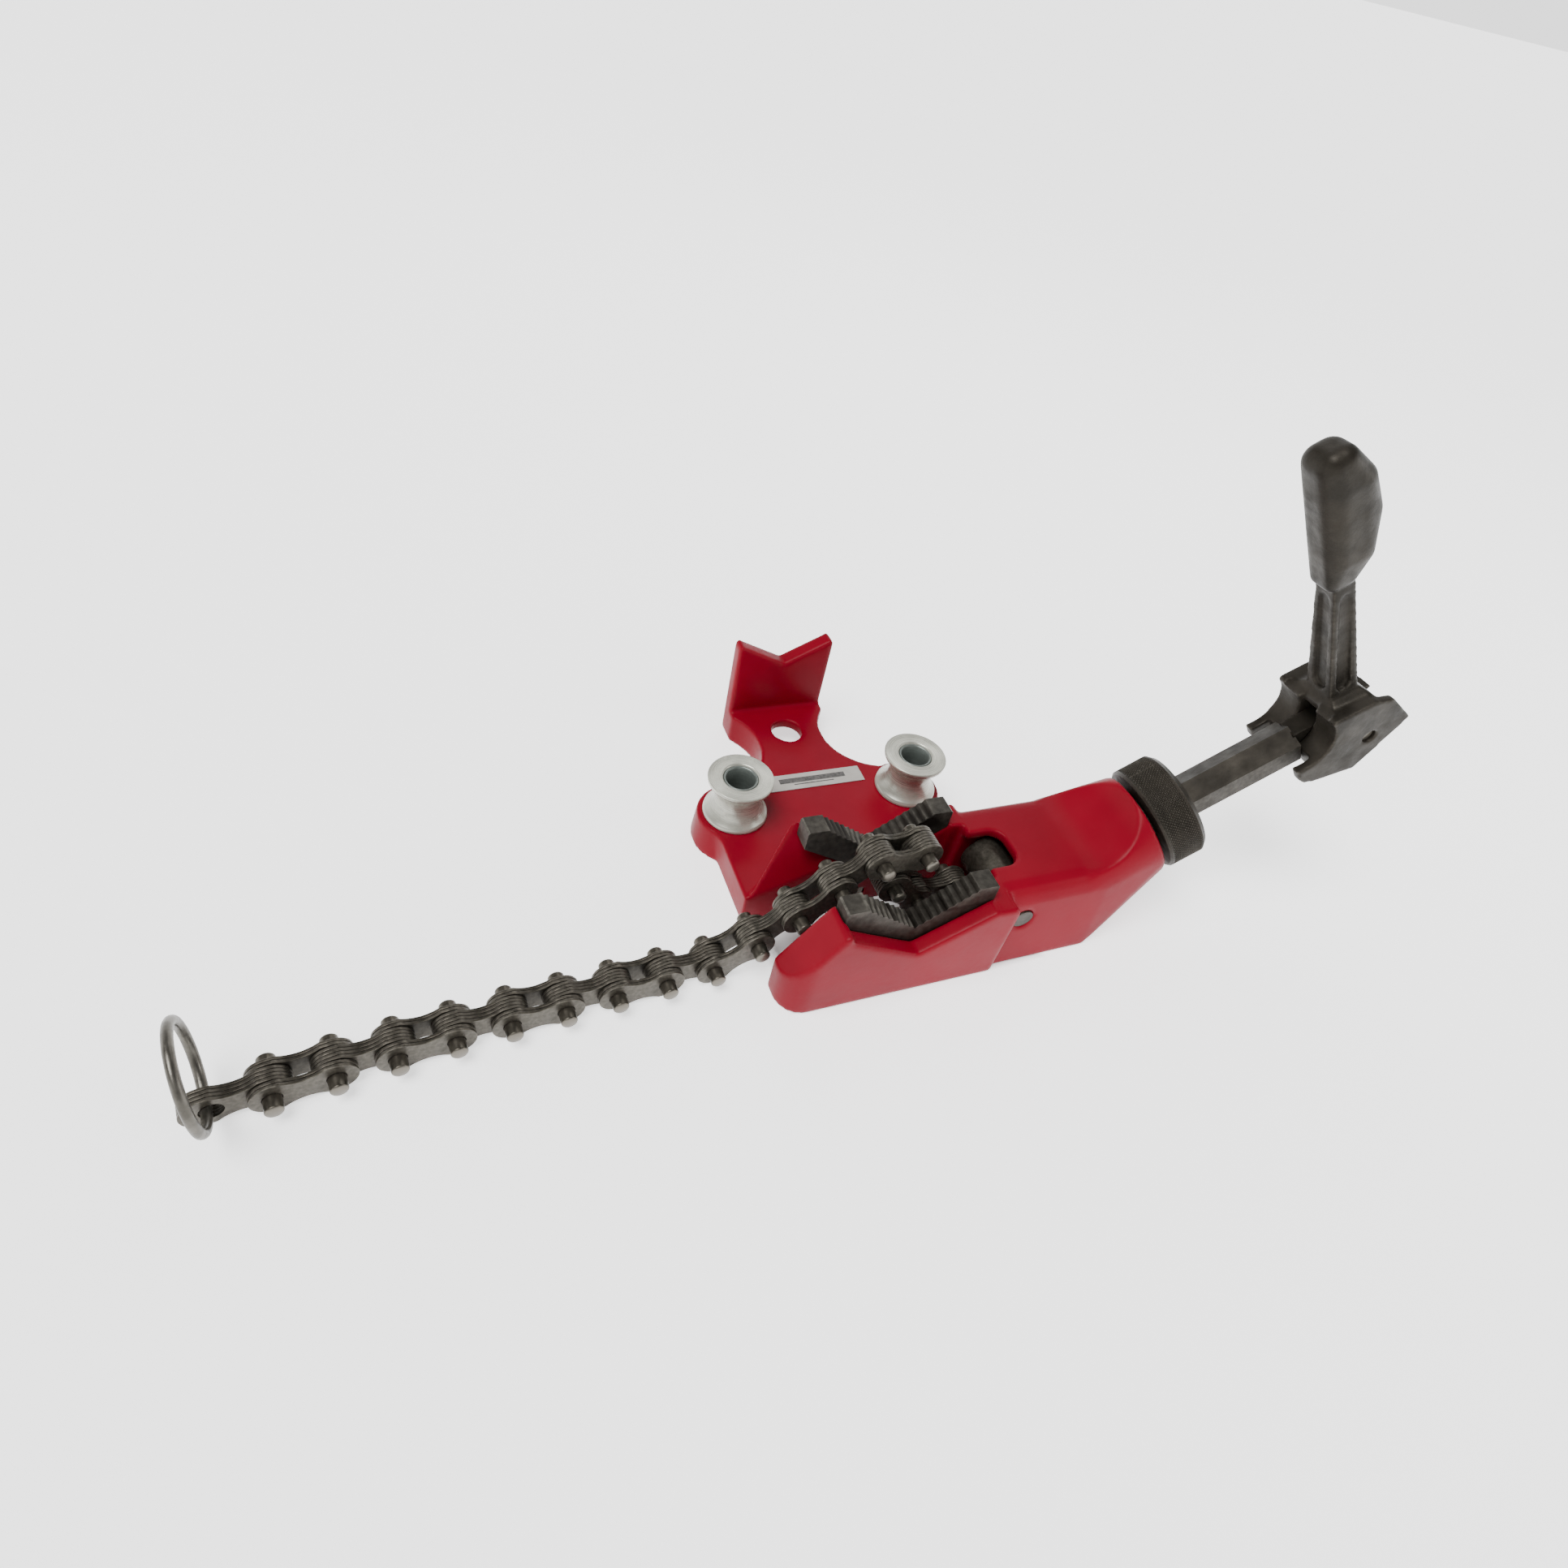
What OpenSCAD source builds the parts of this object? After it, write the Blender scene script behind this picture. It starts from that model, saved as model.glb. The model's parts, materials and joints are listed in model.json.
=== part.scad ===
// Top-screw bench chain vise for pipe.
// The frame is +X along the chain towards the screw, +Y towards the pipe rest and +Z up.
// The origin lies on the bench, midway between the two toothed jaws.

/* [Base casting] */
// Height of the base plate's top above the bench
plate_top = 20; // [16:1:26]
// Thickness of the base plate
plate_t = 7; // [5:0.5:10]
// Thickness of the skirt and the arm's walls
wall = 7; // [5:0.5:9]
// Radius of the two lobes that carry the bending rollers
lobe_r = 24; // [22:1:28]
// Distance from the centre line to each roller
roller_x = 56; // [50:1:60]
// Distance from the jaw centre to the roller line
roller_y = 84; // [80:1:90]
// Radius of the rear bolt hole
rear_hole_r = 9.9; // [6:0.1:11]
// Distance from the jaw centre to the rear bolt hole
rear_hole_y = 146; // [142:1:150]

/* [Pipe rest] */
// Half width of the upright rest
rest_half = 31.7; // [28:0.1:36]
// Front face of the rest
rest_y = 168.6; // [166:0.1:172]
// Thickness of the rest
rest_t = 10.6; // [8:0.1:14]
// Height of the rest's tips
rest_top = 71; // [65:1:80]
// Depth of the V in the rest
rest_v = 15.4; // [10:0.1:20]

/* [Jaws] */
// Inner face of each jaw, from the centre line
jaw_in = 20.7; // [20.6:0.1:22]
// Thickness of a jaw
jaw_t = 11.6; // [9:0.1:12]
// Height of the bottom of the toothed V
jaw_v_z = 42.4; // [40:0.1:45]
// Height of the jaws' flat ends
jaw_top_z = 66; // [62:1:70]
// Half length of a jaw
jaw_half = 43; // [40:1:46]
// Teeth on each flank of a jaw
teeth = 9; // [6:1:12]

/* [Screw arm] */
// Height of the arm's top
arm_top = 55; // [52:1:58]
// Half width of the arm
arm_half = 39; // [36:1:41]
// Slope of the screw
screw_tilt = 32; // [28:1:36]
// Radius of the boss that the collar bears on
boss_r = 30; // [26:1:32]

/* [Screw, nut and handle] */
// Radius of the chain screw
screw_r = 7; // [6:0.5:8]
// Radial gap between the screw and the long nut
screw_gap = 0.08; // [0.05:0.01:0.1]
// Hexagonal nut bar, across its flats
hex_af = 21.6; // [20:0.1:25.4]
// Length of the bar from the collar's face to its tongue
hex_len = 95; // [90:1:110]
// Radius of the knurled collar
collar_r = 31; // [26:0.5:32]
// Length of the knurled collar
collar_len = 22.5; // [20:0.1:28]
// Distance from the collar's face to the handle's pivot
pivot_a = 128; // [124:1:134]
// Thickness of the tongue that the handle straddles
tongue_t = 12; // [9:0.5:14]
// Half width of the handle's fork
fork_half = 23; // [20:1:26]
// Turn of the nut about the screw as it is put away
rest_spin = -5; // [-20:1:20]

/* [Chain] */
// Pitch of the chain
pitch = 25.4; // [25.4]
// Radius of the links' round ends
link_r = 9.3; // [9:0.1:9.4]
// Radius of the chain pins
pin_r = 4; // [3.5:0.1:4.2]
// Length of the chain pins
pin_len = 28; // [26:0.5:29]
// Width of an inner link's pack of plates
inner_w = 7.2; // [6:0.1:8]
// Width of the gap in an outer link
gap_w = 7.7; // [7.6:0.1:8.6]
// Thickness of the plates on each side of an outer link
outer_t = 3.6; // [3:0.1:4]
// Turn of the chain about the vertical at each loose joint
yaw_step = 0.92; // [0:0.02:1]

/* [Pull ring] */
// Radius of the ring's wire
wire_r = 2.25; // [1.5:0.05:2.5]
// Mean radius of the ring
ring_r = 23.3; // [18:0.1:24]
// Radius of the ring's hole in the end link
ring_hole_r = 4.9; // [4.8:0.1:5.2]

/* [Bending rollers] */
// Radius of the flanges
flange_r = 19; // [17:0.5:21]
// Radius at the waist of the groove
waist_r = 13.2; // [12:0.1:15]
// Height of a roller
roller_h = 27.5; // [24:0.5:30]
// Radius of the steel sleeve that it turns on
sleeve_r = 10; // [9:0.1:10.5]
// Radius of the bolt hole through the sleeve
sleeve_bore_r = 8.5; // [6:0.1:8.8]

/* [Hidden] */
fine = 96;
fit_gap = 0.05;
cut = 1;

// The screw's frame: local X runs up the screw from the collar's inner face.
screw_x = 161;
screw_z = 57.2;
boss_a = -3.2;
washer_r = 19;
screw_end_a = 36;
bar_bore_end_a = 88;

// Guide roller that turns the chain up to the screw.
guide_x = 68;
guide_z = 34;
guide_r = 12.2;
guide_w = 29;
guide_pin_r = 6;
guide_pin_len = 70;

// Pit and cavities of the casting.
pit_half = 20.5;
plate_half = 70.5;
slot_half = 12.5;
slot_corner = 8;
cavity_half = 16;
wall_end_x = -70;
step_x = 56;
front_y = -42.4;
rear_y = 36;
lobe_draft = 2;
arm_draft = 6;
rim_v_z = 33;
seat_gap = 0.3;

// Chain joints, numbered from the ring's end. The last pin is in the screw's clevis.
last_pin = 19;
// Slope of each link at rest. Link i runs from pin i to pin i + 1, and link 0 carries the ring.
slopes = [0, 0, 0, 0, 0, 0, 0, 0, 0, 27.2,
          35.2, 35.2, 35.4, 1.4, -119.7, -41.2, -1.8, -39.4, 5.4];
// Turn of each link about the vertical.
function yaw(i) = yaw_step * (min(4, max(0, 15 - i)) + max(0, 5 - i));
clevis_a = -84.5;
// Place of the ring's hole along the end link, the wire's seat in it and the ring's lean.
ring_hole_x = 3;
ring_seat = [-1.4, 0, 1.8];
ring_lean = 93.4;
function on_axis(a) = [screw_x + a * cos(screw_tilt), 0, screw_z + a * sin(screw_tilt)];
function link_dir(i) = [cos(yaw(i)) * cos(slopes[i]), sin(yaw(i)) * cos(slopes[i]), sin(slopes[i])];
function pin_at(i) = i == last_pin ? on_axis(clevis_a) : pin_at(i + 1) - pitch * link_dir(i);

function link_name(i) = str(i % 2 == 1 ? "outer_link_" : "inner_link_", i < 10 ? "0" : "", i);

// ---- Helpers ----

// Puts its children in the screw's frame.
module on_screw() {
    translate([screw_x, 0, screw_z]) rotate([0, -screw_tilt, 0]) children();
}

// A cylinder along local X from x0 to x1.
module rod_x(r, x0, x1, sides = fine) {
    translate([x0, 0, 0]) rotate([0, 90, 0]) cylinder(r = r, h = x1 - x0, $fn = sides);
}

// A cylinder along Y, centred on the XZ plane.
module rod_y(r, len) {
    rotate([90, 0, 0]) cylinder(r = r, h = len, center = true, $fn = fine);
}

// Extrudes an XZ outline from y0 to y1.
module slab(y0, y1) {
    translate([0, y1, 0]) rotate([90, 0, 0]) linear_extrude(y1 - y0) children();
}

// ---- Base casting ----

// Plan of the base plate: lobes, the body behind the pit and the necked tail.
module plate_plan(inset = 0) {
    neck_r = 35;
    neck_x = 57;
    neck_y = 139;
    flank_r = 20 + inset;
    offset(r = -flank_r, $fn = fine) offset(r = flank_r, $fn = fine) {
        for (s = [-1, 1]) translate([s * roller_x, roller_y])
            circle(r = lobe_r - lobe_draft - inset, $fn = fine);
        translate([-plate_half + inset, pit_half + inset])
            square([2 * (plate_half - inset), roller_y - pit_half - inset]);
    }
    difference() {
        translate([-roller_x + inset, roller_y - cut])
            square([2 * roller_x - 2 * inset, rest_y + rest_t - roller_y + cut - inset]);
        for (s = [-1, 1]) {
            translate([s * neck_x, neck_y]) circle(r = neck_r + inset, $fn = fine);
            translate([s * (rest_half - inset + 50), rest_y])
                square([100, 2 * (rest_y - neck_y - 9)], center = true);
        }
    }
}

// Outline of the pipe rest.
module rest_outline() {
    polygon([[-rest_half, 0], [rest_half, 0], [rest_half, rest_top - 2],
             [rest_half - 2, rest_top], [0, rest_top - rest_v], [-rest_half + 2, rest_top],
             [-rest_half, rest_top - 2]]);
}

// Side outline of the two pit walls, with the sloping left end and the V for the jaws.
module wall_outline() {
    polygon([[wall_end_x, 0], [wall_end_x, 24], [-46, 59], [-42.5, 60], [-41, 55], [0, rim_v_z],
             [41, 56], [43, arm_top], [step_x - 3, arm_top], [step_x, arm_top - 3], [step_x, 0]]);
}

// Rear pit wall. Its left end is a ramp that narrows to the plate's corner and leans back from the pit.
module rear_wall() {
    join_x = -18;
    slab(pit_half - 1, rear_y) intersection() {
        wall_outline();
        translate([join_x - cut, 0]) square(100);
    }
    hull() {
        slab(pit_half - 1, pit_half)
            polygon([[wall_end_x, 0], [wall_end_x, plate_top - 3], [join_x, 38], [join_x, 0]]);
        slab(rear_y - 1, rear_y)
            polygon([[-46, 0], [-46, 59], [-42.5, 60], [join_x, 42.7], [join_x, 0]]);
    }
}

// Side outline of a jaw's seat.
module seat_outline() {
    polygon([[-jaw_half - seat_gap, 80], [-jaw_half - seat_gap, jaw_bottom(jaw_half)],
             [0, jaw_bottom(0)], [jaw_half + seat_gap, jaw_bottom(jaw_half)],
             [jaw_half + seat_gap, 80]]);
}
function jaw_slope() = (jaw_top_z - jaw_v_z) / 33;
function jaw_bottom(x) = jaw_v_z - 16 + x * jaw_slope() * 0.88;

// A length of the arm, drafted on both sides and rounded along the top.
module arm_length(x0, x1) {
    top = arm_half - arm_draft;
    side = [[arm_half, 0], [top + 1, arm_top - 9], [top - 1.5, arm_top - 4], [top - 4.5, arm_top - 1],
            [top - 9, arm_top]];
    translate([x0, 0, 0]) rotate([90, 0, 90]) linear_extrude(x1 - x0)
        polygon(concat(side, [for (i = [4 : -1 : 0]) [-side[i][0], side[i][1]]]));
}

// Arm that holds the screw, with its round boss square to the screw.
module arm_block() {
    ramp_x = 107;
    ramp_r = 36.5;
    arm_length(step_x - 4, ramp_x + 1);
    difference() {
        hull() {
            arm_length(ramp_x, 120);
            on_screw() rod_x(boss_r, boss_a - 7, boss_a, 48);
        }
        translate([ramp_x, 0, arm_top + ramp_r + 0.05]) rod_y(ramp_r, 100);
    }
}

// Space that the chain, its clevis and the guide roller move in.
module arm_cavity() {
    translate([-20, -cavity_half, -cut]) cube([104, 2 * cavity_half, 50]);
    translate([70, -cavity_half, -cut]) cube([31, 2 * cavity_half, 31]);
    translate([0, 0, arm_top - 10]) linear_extrude(30) {
        translate([20, -slot_half]) square([44, 2 * slot_half]);
        for (s = [-1, 1]) translate([64, s * (slot_half - slot_corner)]) circle(r = slot_corner, $fn = fine);
        translate([60, slot_corner - slot_half]) square([4 + slot_corner, 2 * (slot_half - slot_corner)]);
    }
    on_screw() {
        rod_x(13, -88, -42);
        rod_x(9, -50, 10);
    }
}

module casting_solid() {
    corner = 15;
    linear_extrude(plate_top) plate_plan();
    for (s = [-1, 1]) translate([s * roller_x, roller_y, 0])
        cylinder(r1 = lobe_r, r2 = lobe_r - lobe_draft, h = plate_top, $fn = fine);
    slab(rest_y, rest_y + rest_t) rest_outline();
    difference() {
        slab(front_y, 1 - pit_half) wall_outline();
        translate([wall_end_x - cut, front_y - cut, -cut]) linear_extrude(80) difference() {
            square(corner + cut);
            translate([corner + cut, corner + cut]) circle(r = corner, $fn = fine);
        }
    }
    rear_wall();
    arm_block();
}

// Hollow under the plate, with solid bosses round the sleeves.
module skirt_hollow() {
    boss = 15;
    translate([0, 0, -cut]) linear_extrude(plate_top - plate_t + cut) difference() {
        plate_plan(wall);
        translate([-80, pit_half - 1]) square([160, 1 - pit_half - front_y]);
        for (s = [-1, 1]) translate([s * roller_x, roller_y]) circle(r = boss, $fn = fine);
    }
}

module bolt_holes() {
    translate([0, rear_hole_y, -cut]) cylinder(r = rear_hole_r, h = 30, $fn = fine);
    for (s = [-1, 1]) translate([s * roller_x, roller_y, -cut])
        cylinder(r = sleeve_r + fit_gap, h = 30, $fn = fine);
}

// Pit between the jaws, the jaws' seats and the holes of their bolts.
module pit_and_seats() {
    seat_out = jaw_in + jaw_t + seat_gap;
    translate([wall_end_x - 10, -pit_half, -cut]) cube([55 - wall_end_x, 2 * pit_half, 100]);
    slab(-seat_out, seat_out) seat_outline();
    for (s = [-1, 1]) translate([0, s * (jaw_in + jaw_t / 2), -cut]) {
        cylinder(r = 3.1, h = 40, $fn = fine);
        cylinder(r = 6.2, h = 12, $fn = fine);
    }
}

// Pockets cored into the arm from below, beside the chain's cavity.
module side_pockets() {
    inner = cavity_half + wall - 1;
    for (s = [-1, 1]) translate([step_x + 22, s > 0 ? inner : -arm_half + wall - 1, -cut])
        cube([32, arm_half - wall + 1 - inner, 26]);
}

module base_casting() {
    color("firebrick") difference() {
        casting_solid();
        skirt_hollow();
        bolt_holes();
        pit_and_seats();
        arm_cavity();
        side_pockets();
        translate([guide_x, 0, guide_z]) rod_y(guide_pin_r + fit_gap, 100);
    }
}

module label_plate() {
    color("whitesmoke") translate([-33, 93.8, plate_top]) cube([66, 12.6, 0.6]);
}

// ---- Jaws ----

// Outline of a jaw: a V with saw teeth along each flank.
module jaw_outline() {
    flank = 33;
    step = flank / teeth;
    rise = jaw_slope();
    right = [for (i = [0 : teeth - 1]) each [
        [i * step + 0.4, jaw_v_z + i * step * rise + 0.3],
        [i * step + 1.5, jaw_v_z + (i * step + 1.5) * rise + 1.4]]];
    function flip(pts) = [for (i = [len(pts) - 1 : -1 : 0]) [-pts[i][0], pts[i][1]]];
    top_right = concat(right, [[flank, jaw_top_z], [jaw_half - 1, jaw_top_z], [jaw_half, jaw_top_z - 1]]);
    bottom = [[jaw_half, jaw_bottom(jaw_half) + seat_gap], [0, jaw_bottom(0) + seat_gap],
              [-jaw_half, jaw_bottom(jaw_half) + seat_gap]];
    polygon(concat(flip(top_right), top_right, bottom));
}

module jaw(side) {
    difference() {
        slab(side > 0 ? jaw_in : -jaw_in - jaw_t, side > 0 ? jaw_in + jaw_t : -jaw_in)
            jaw_outline();
        translate([0, side * (jaw_in + jaw_t / 2), 0]) cylinder(r = 3.05, h = 37, $fn = fine);
    }
}

module jaw_bolt(side) {
    translate([0, side * (jaw_in + jaw_t / 2), 5]) {
        cylinder(r = 3, h = 31, $fn = fine);
        cylinder(r = 5.6, h = 6, $fn = 6);
    }
}

// ---- Bending rollers ----

module bending_roller(side) {
    groove_h = roller_h - 5;
    depth = flange_r - waist_r;
    groove_r = (groove_h * groove_h / 4 + depth * depth) / (2 * depth);
    translate([side * roller_x, roller_y, plate_top + 0.1]) rotate_extrude($fn = fine) difference() {
        translate([sleeve_r + fit_gap, 0]) square([flange_r - sleeve_r - fit_gap, roller_h]);
        translate([waist_r + groove_r, roller_h / 2]) circle(r = groove_r, $fn = fine);
        translate([sleeve_r, roller_h]) circle(r = 1.4, $fn = 4);
    }
}

module sleeve(side) {
    translate([side * roller_x, roller_y, 2]) difference() {
        cylinder(r = sleeve_r, h = plate_top + roller_h - 2.6, $fn = fine);
        translate([0, 0, -cut]) cylinder(r = sleeve_bore_r, h = 60, $fn = fine);
    }
}

// ---- Screw drive ----

module guide_roller() {
    color("dimgray") translate([guide_x, 0, guide_z]) difference() {
        rod_y(guide_r, guide_w);
        rod_y(guide_pin_r + fit_gap, guide_w + 2);
    }
}

module guide_roller_pin() {
    color("gray") translate([guide_x, 0, guide_z]) rod_y(guide_pin_r, guide_pin_len);
}

module thrust_washer() {
    color("silver") on_screw() difference() {
        rod_x(washer_r, boss_a, -0.1);
        rod_x(9, -10, 10);
    }
}

module knurled_collar() {
    color("darkslategray") on_screw() difference() {
        rotate([90, 0, 90]) rotate_extrude($fn = fine)
            polygon([[0, 0], [collar_r - 1, 0], [collar_r, 1], [collar_r, collar_len - 3],
                     [collar_r - 3, collar_len], [0, collar_len]]);
        rotate([rest_spin, 0, 0]) rod_x(hex_af / sqrt(3), -cut, collar_len + cut, 6);
    }
}

// Long nut: a bored hexagonal bar that ends in a tongue with a round tip.
module nut_bar() {
    tongue_r = hex_af / 2;
    color("dimgray") on_screw() rotate([rest_spin, 0, 0]) difference() {
        union() {
            rod_x(hex_af / sqrt(3), 0, hex_len, 6);
            translate([hex_len - cut, -tongue_t / 2, -tongue_r])
                cube([pivot_a - hex_len + cut, tongue_t, 2 * tongue_r]);
            translate([pivot_a, 0, 0]) rod_y(tongue_r, tongue_t);
        }
        rod_x(screw_r + screw_gap, -cut, bar_bore_end_a);
        translate([pivot_a, 0, 0]) rod_y(4.05, 40);
    }
}

module chain_screw() {
    cheek = 3.4;
    slot = 3.9;
    color("gray") on_screw() difference() {
        union() {
            rod_x(screw_r, clevis_a + 14, screw_end_a);
            translate([clevis_a, 0, 0]) rod_y(link_r, 2 * (slot + cheek));
            translate([clevis_a, -slot - cheek, -link_r]) cube([16, 2 * (slot + cheek), 2 * link_r]);
        }
        translate([clevis_a - 20, -slot, -20]) cube([30.5, 2 * slot, 40]);
        translate([clevis_a, 0, 0]) rod_y(pin_r + fit_gap, 40);
    }
}

module clevis_pin() {
    color("gray") on_screw() translate([clevis_a, 0, 0]) rod_y(pin_r, 15.6);
}

// ---- Crank handle ----

// Side outline of the fork, in the screw's frame with the pivot at (pivot_a, 0).
module fork_outline() {
    difference() {
        polygon([[107, 28], [131, 27], [142, 21.5], [153, -1], [119, -22], [95, -14.6], [88, -11.5],
                 [85, -6.5], [83.8, 2]]);
        translate([89, 19]) circle(r = 18, $fn = fine);
    }
}

// Outline of the hollow on each face of the handle's arm, tapered like the arm.
module arm_groove(foot, head) {
    polygon([[-foot, 37], [-foot * 0.5, 33], [foot * 0.5, 33], [foot, 37],
             [head, 98], [head * 0.5, 102], [-head * 0.5, 102], [-head, 98]]);
}

module crank_handle() {
    arm_a = 121.5;
    ear_in = fork_half - 5.5;
    cheek_r = pivot_a - hex_len - 0.5;
    // Sections of the grip: centre, half spread, height and edge radius.
    grip = [[119, 3.5, 112, 5], [122.5, 5, 126, 7], [126.5, 3, 148, 8],
            [120, 4.6, 169, 8], [114.8, 2.4, 181.5, 8]];
    color("darkslategray") on_screw() rotate([rest_spin, 0, 0]) {
        difference() {
            slab(-fork_half, fork_half) fork_outline();
            slab(-tongue_t / 2 - 0.3, tongue_t / 2 + 0.3) square([400, 100], center = true);
            difference() {
                slab(-ear_in, ear_in) square([400, 100], center = true);
                translate([pivot_a, 0, 0]) rod_y(cheek_r, 60);
            }
            translate([pivot_a + 4, -ear_in, 0]) cube([40, 2 * ear_in, 60]);
            translate([pivot_a, 0, 0]) rod_y(4 + fit_gap, 80);
        }
        // Bridge over the tongue, X-section arm and rounded grip.
        hull() {
            translate([arm_a - 12, -18, 20]) cube([25, 36, 5]);
            translate([arm_a - 9, -11, 27]) cube([18, 22, 3]);
        }
        difference() {
            hull() {
                translate([arm_a - 8.5, -9.8, 24]) cube([17, 19.6, 4]);
                translate([arm_a - 7, -6.9, 104]) cube([12, 13.8, 4]);
            }
            translate([arm_a - 0.5, 0, 0]) for (y = [-16, 6]) slab(y, y + 10) arm_groove(4.2, 3.2);
            for (a = [arm_a - 16, arm_a + 5.2])
                translate([a, 0, 0]) rotate([90, 0, 90]) linear_extrude(10.3) arm_groove(4.4, 3.4);
        }
        hull() for (g = grip, s = [-1, 1], u = [-1, 1])
            translate([g[0] + u * g[1], s * (1.5 + 0.72 * g[1]), g[2]]) sphere(r = g[3], $fn = 24);
    }
}

module handle_pin() {
    color("gray") on_screw() rotate([rest_spin, 0, 0])
        translate([pivot_a, 0, 0]) rod_y(4, 2 * fork_half - 5);
}

// ---- Chain ----

// Waisted outline of a link plate from one hole to the next.
module plate_outline() {
    waist_r = 16;
    waist_y = 22.5;
    difference() {
        union() {
            for (x = [0, pitch]) translate([x, 0]) circle(r = link_r, $fn = fine);
            translate([0, -link_r]) square([pitch, 2 * link_r]);
        }
        for (s = [-1, 1]) translate([pitch / 2, s * waist_y]) circle(r = waist_r, $fn = fine);
    }
}

// Puts its children at a link, with local X along it and local Y along its pins.
module at_link(i) {
    translate(pin_at(i)) rotate([0, 0, yaw(i)]) rotate([0, -slopes[i], 0]) children();
}

module inner_link(i) {
    at_link(i) difference() {
        slab(-inner_w / 2, inner_w / 2) plate_outline();
        translate([pitch, 0, 0]) rod_y(pin_r + 0.1, 60);
        if (i == 0) translate([ring_hole_x, 0, 0]) rod_y(ring_hole_r, 60);
        else rod_y(pin_r + 0.1, 60);
    }
}

module outer_link(i) {
    at_link(i) {
        for (s = [-1, 1]) slab(s > 0 ? gap_w / 2 : -gap_w / 2 - outer_t,
                               s > 0 ? gap_w / 2 + outer_t : -gap_w / 2) plate_outline();
        for (k = [0, 1]) translate([k * pitch, 0, 0]) rod_y(pin_r, pin_len);
    }
}

module chain_link(i) {
    color("dimgray") if (i % 2 == 1) outer_link(i); else inner_link(i);
}

module pull_ring() {
    color("lightslategray") at_link(0) translate([ring_hole_x, 0, 0] + ring_seat)
        rotate([0, -ring_lean, 0]) translate([ring_r, 0, 0])
            rotate_extrude($fn = fine) translate([ring_r, 0]) circle(r = wire_r, $fn = 24);
}

// ---- Nodes ----

base_casting();
label_plate();
color("dimgray") jaw(-1);  // front_jaw
color("dimgray") jaw(1);  // rear_jaw
color("silver") jaw_bolt(-1);  // front_jaw_bolt
color("silver") jaw_bolt(1);  // rear_jaw_bolt
color("silver") sleeve(-1);  // left_sleeve
color("silver") sleeve(1);  // right_sleeve
color("lightgray") bending_roller(-1);  // left_bending_roller
color("lightgray") bending_roller(1);  // right_bending_roller
guide_roller();
guide_roller_pin();
thrust_washer();
knurled_collar();
nut_bar();
chain_screw();
clevis_pin();
crank_handle();
handle_pin();
pull_ring();
for (i = [0 : last_pin - 1])
    chain_link(i);
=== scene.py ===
"""Top-screw bench chain vise for pipe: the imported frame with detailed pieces, materials and light."""
import json
from math import asin, cos, pi, radians, sin, sqrt, tau

import bmesh
import bpy
from mathutils import Matrix, Vector


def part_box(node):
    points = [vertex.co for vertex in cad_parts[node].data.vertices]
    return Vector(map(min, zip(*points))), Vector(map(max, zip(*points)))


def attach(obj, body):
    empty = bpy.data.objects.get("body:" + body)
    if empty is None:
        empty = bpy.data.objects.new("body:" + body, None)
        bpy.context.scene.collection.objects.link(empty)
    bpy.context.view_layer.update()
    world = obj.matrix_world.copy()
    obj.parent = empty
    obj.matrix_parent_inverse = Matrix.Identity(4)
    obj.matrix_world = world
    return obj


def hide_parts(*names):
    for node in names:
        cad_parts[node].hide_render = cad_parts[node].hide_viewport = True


MM = 0.001
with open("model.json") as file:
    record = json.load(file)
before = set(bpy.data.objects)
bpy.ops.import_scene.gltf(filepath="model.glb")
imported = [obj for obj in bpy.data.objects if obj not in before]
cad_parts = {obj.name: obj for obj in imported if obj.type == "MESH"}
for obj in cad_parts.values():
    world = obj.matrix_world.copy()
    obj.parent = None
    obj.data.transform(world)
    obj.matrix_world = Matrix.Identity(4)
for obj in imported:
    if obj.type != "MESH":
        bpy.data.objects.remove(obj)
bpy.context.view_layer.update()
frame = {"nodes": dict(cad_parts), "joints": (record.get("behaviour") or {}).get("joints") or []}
nodes = frame["nodes"]
joints = {j["name"]: j for j in frame["joints"]}

# ---- Sizes worked out from the frame ----

SCREW_AXIS = Vector(joints["screw_slide"]["axis"])
SCREW_TURN = SCREW_AXIS.to_track_quat("Z", "Y").to_matrix().to_4x4()
SCREW_PLACE = Matrix.Translation(joints["nut_spin"]["pos_m"]) @ SCREW_TURN
LEAD = joints["screw_slide"]["range_m"][1] / (joints["nut_spin"]["range_deg"][1] / 360)
LAST_PIN = 19
LINK_R = 9.3 * MM
PIN_R = 4 * MM
PIN_LEN = 28 * MM
# The leaves are set PLATE_T apart and drawn a little thinner, so that the gaps between them show.
PLATE_T = 1.8 * MM
LEAF_T = PLATE_T - 0.2 * MM
# Where the inner leaf of an outer link starts, out from the link's middle.
OUTER_GAP = 3.85 * MM


def pin_place(k):
    """The centre of a chain pin at rest. The ring's hole stands for pin 0."""
    name = "pin_%02d_hinge" % k if k else "ring_swing"
    return Vector(joints[name]["pos_m"])


PITCH = (pin_place(5) - pin_place(4)).length
RING_HOLE_X = PITCH - (pin_place(1) - pin_place(0)).length
RING_HOLE_R = 4.9 * MM


# ---- Node helpers ----

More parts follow.
